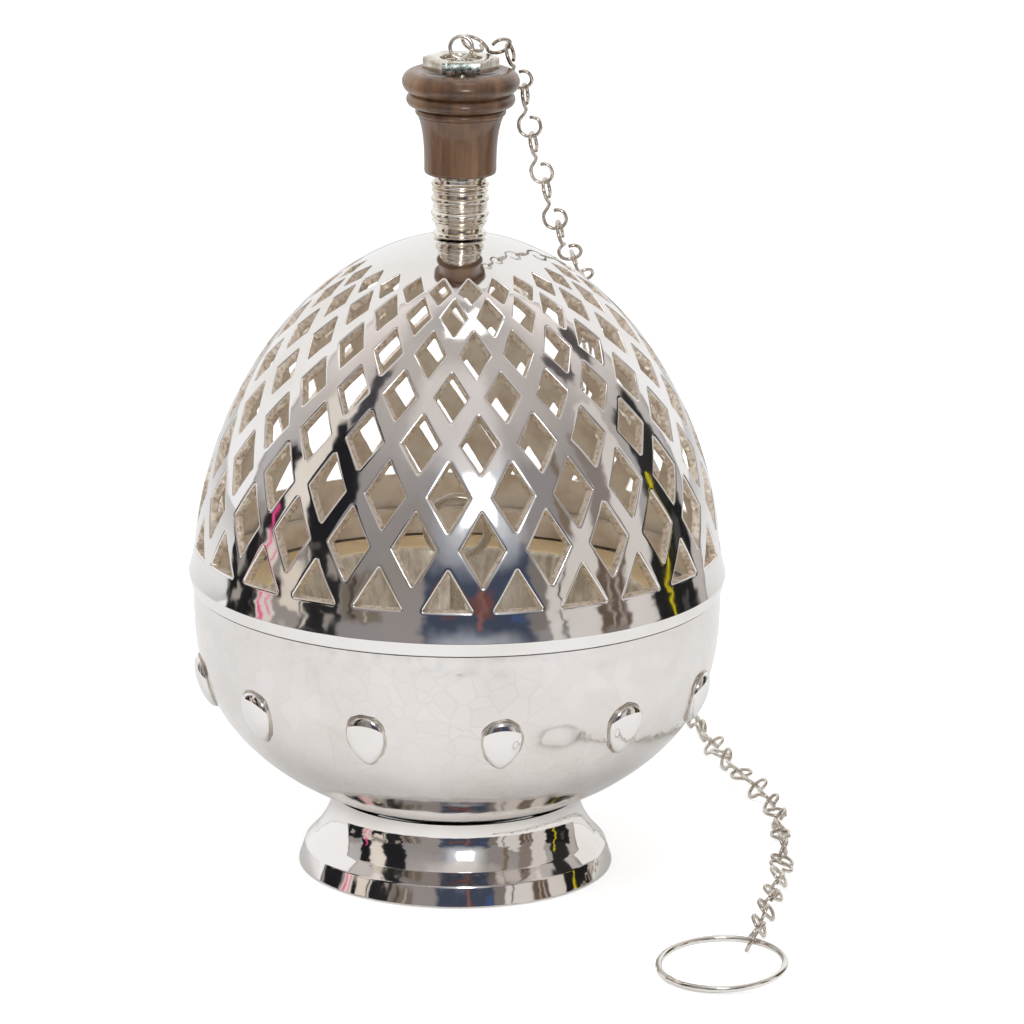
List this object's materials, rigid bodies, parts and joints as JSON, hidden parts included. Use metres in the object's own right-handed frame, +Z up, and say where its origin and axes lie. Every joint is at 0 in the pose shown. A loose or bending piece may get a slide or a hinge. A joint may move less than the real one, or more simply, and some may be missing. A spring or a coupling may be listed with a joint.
{
  "type": "thurible",
  "caption": "Incense burner swung by hand: pierced egg-shaped cover with a turned wooden grip, on a hammered, studded, footed bowl, with a lift-out pan and a jack chain to a finger ring.",
  "frame": {"origin": "centre of the foot's lower rim, on the ground", "axes": "+Z up along the cover's axis, -Y towards the side that the picture shows, +X to its right"},
  "size_m": [0.1735, 0.2656, 0.2401],
  "materials": {
    "silver": "polished silver plate",
    "hammered_silver": "hammered and polished silver plate",
    "inner_silver": "dull, slightly yellowed",
    "brass": "dull",
    "steel": "worn",
    "walnut": "dark, waxed"
  },
  "bodies": {
    "bowl": {"foot": "silver", "bowl": "hammered_silver", "bowl_lock_band": "brass", "pan_ledge": "inner_silver", "cabochon_01": "silver", "cabochon_02": "silver", "cabochon_03": "silver", "cabochon_04": "silver", "cabochon_05": "silver", "cabochon_06": "silver", "cabochon_07": "silver", "cabochon_08": "silver", "cabochon_09": "silver", "cabochon_10": "silver", "cabochon_11": "silver", "cabochon_12": "silver"},
    "cover": {"cover_dome": "silver", "cover_spigot": "inner_silver", "ribbed_collar": "silver", "wood_handle": "walnut", "hex_nut": "steel", "tie_rod": "steel", "dome_washer": "steel", "lock_nut": "steel"},
    "eye": {"top_eye": "steel", "chain": "silver"},
    "pan": {"charcoal_pan": "brass", "pan_stem": "steel", "lifting_ring": "steel"},
    "finger_ring": {"finger_ring": "silver"}
  },
  "joints": [
    {"name": "cover_lift", "type": "slide", "parent": "bowl", "child": "cover", "axis": [0, 0, 1], "range_m": [0, 0.1]},
    {"name": "pan_lift", "type": "slide", "parent": "bowl", "child": "pan", "axis": [0, 0, 1], "range_m": [0, 0.018]},
    {"name": "eye_swivel", "type": "hinge", "parent": "cover", "child": "eye", "pos_m": [0, 0, 0.2364], "axis": [0, 0, 1], "continuous": true},
    {"name": "ring_swing", "type": "hinge", "parent": "eye", "child": "finger_ring", "pos_m": [0.0822, -0.0816, 0.0038], "axis": [-0.832, 0.5548, 0], "range_deg": [0, 115]}
  ]
}
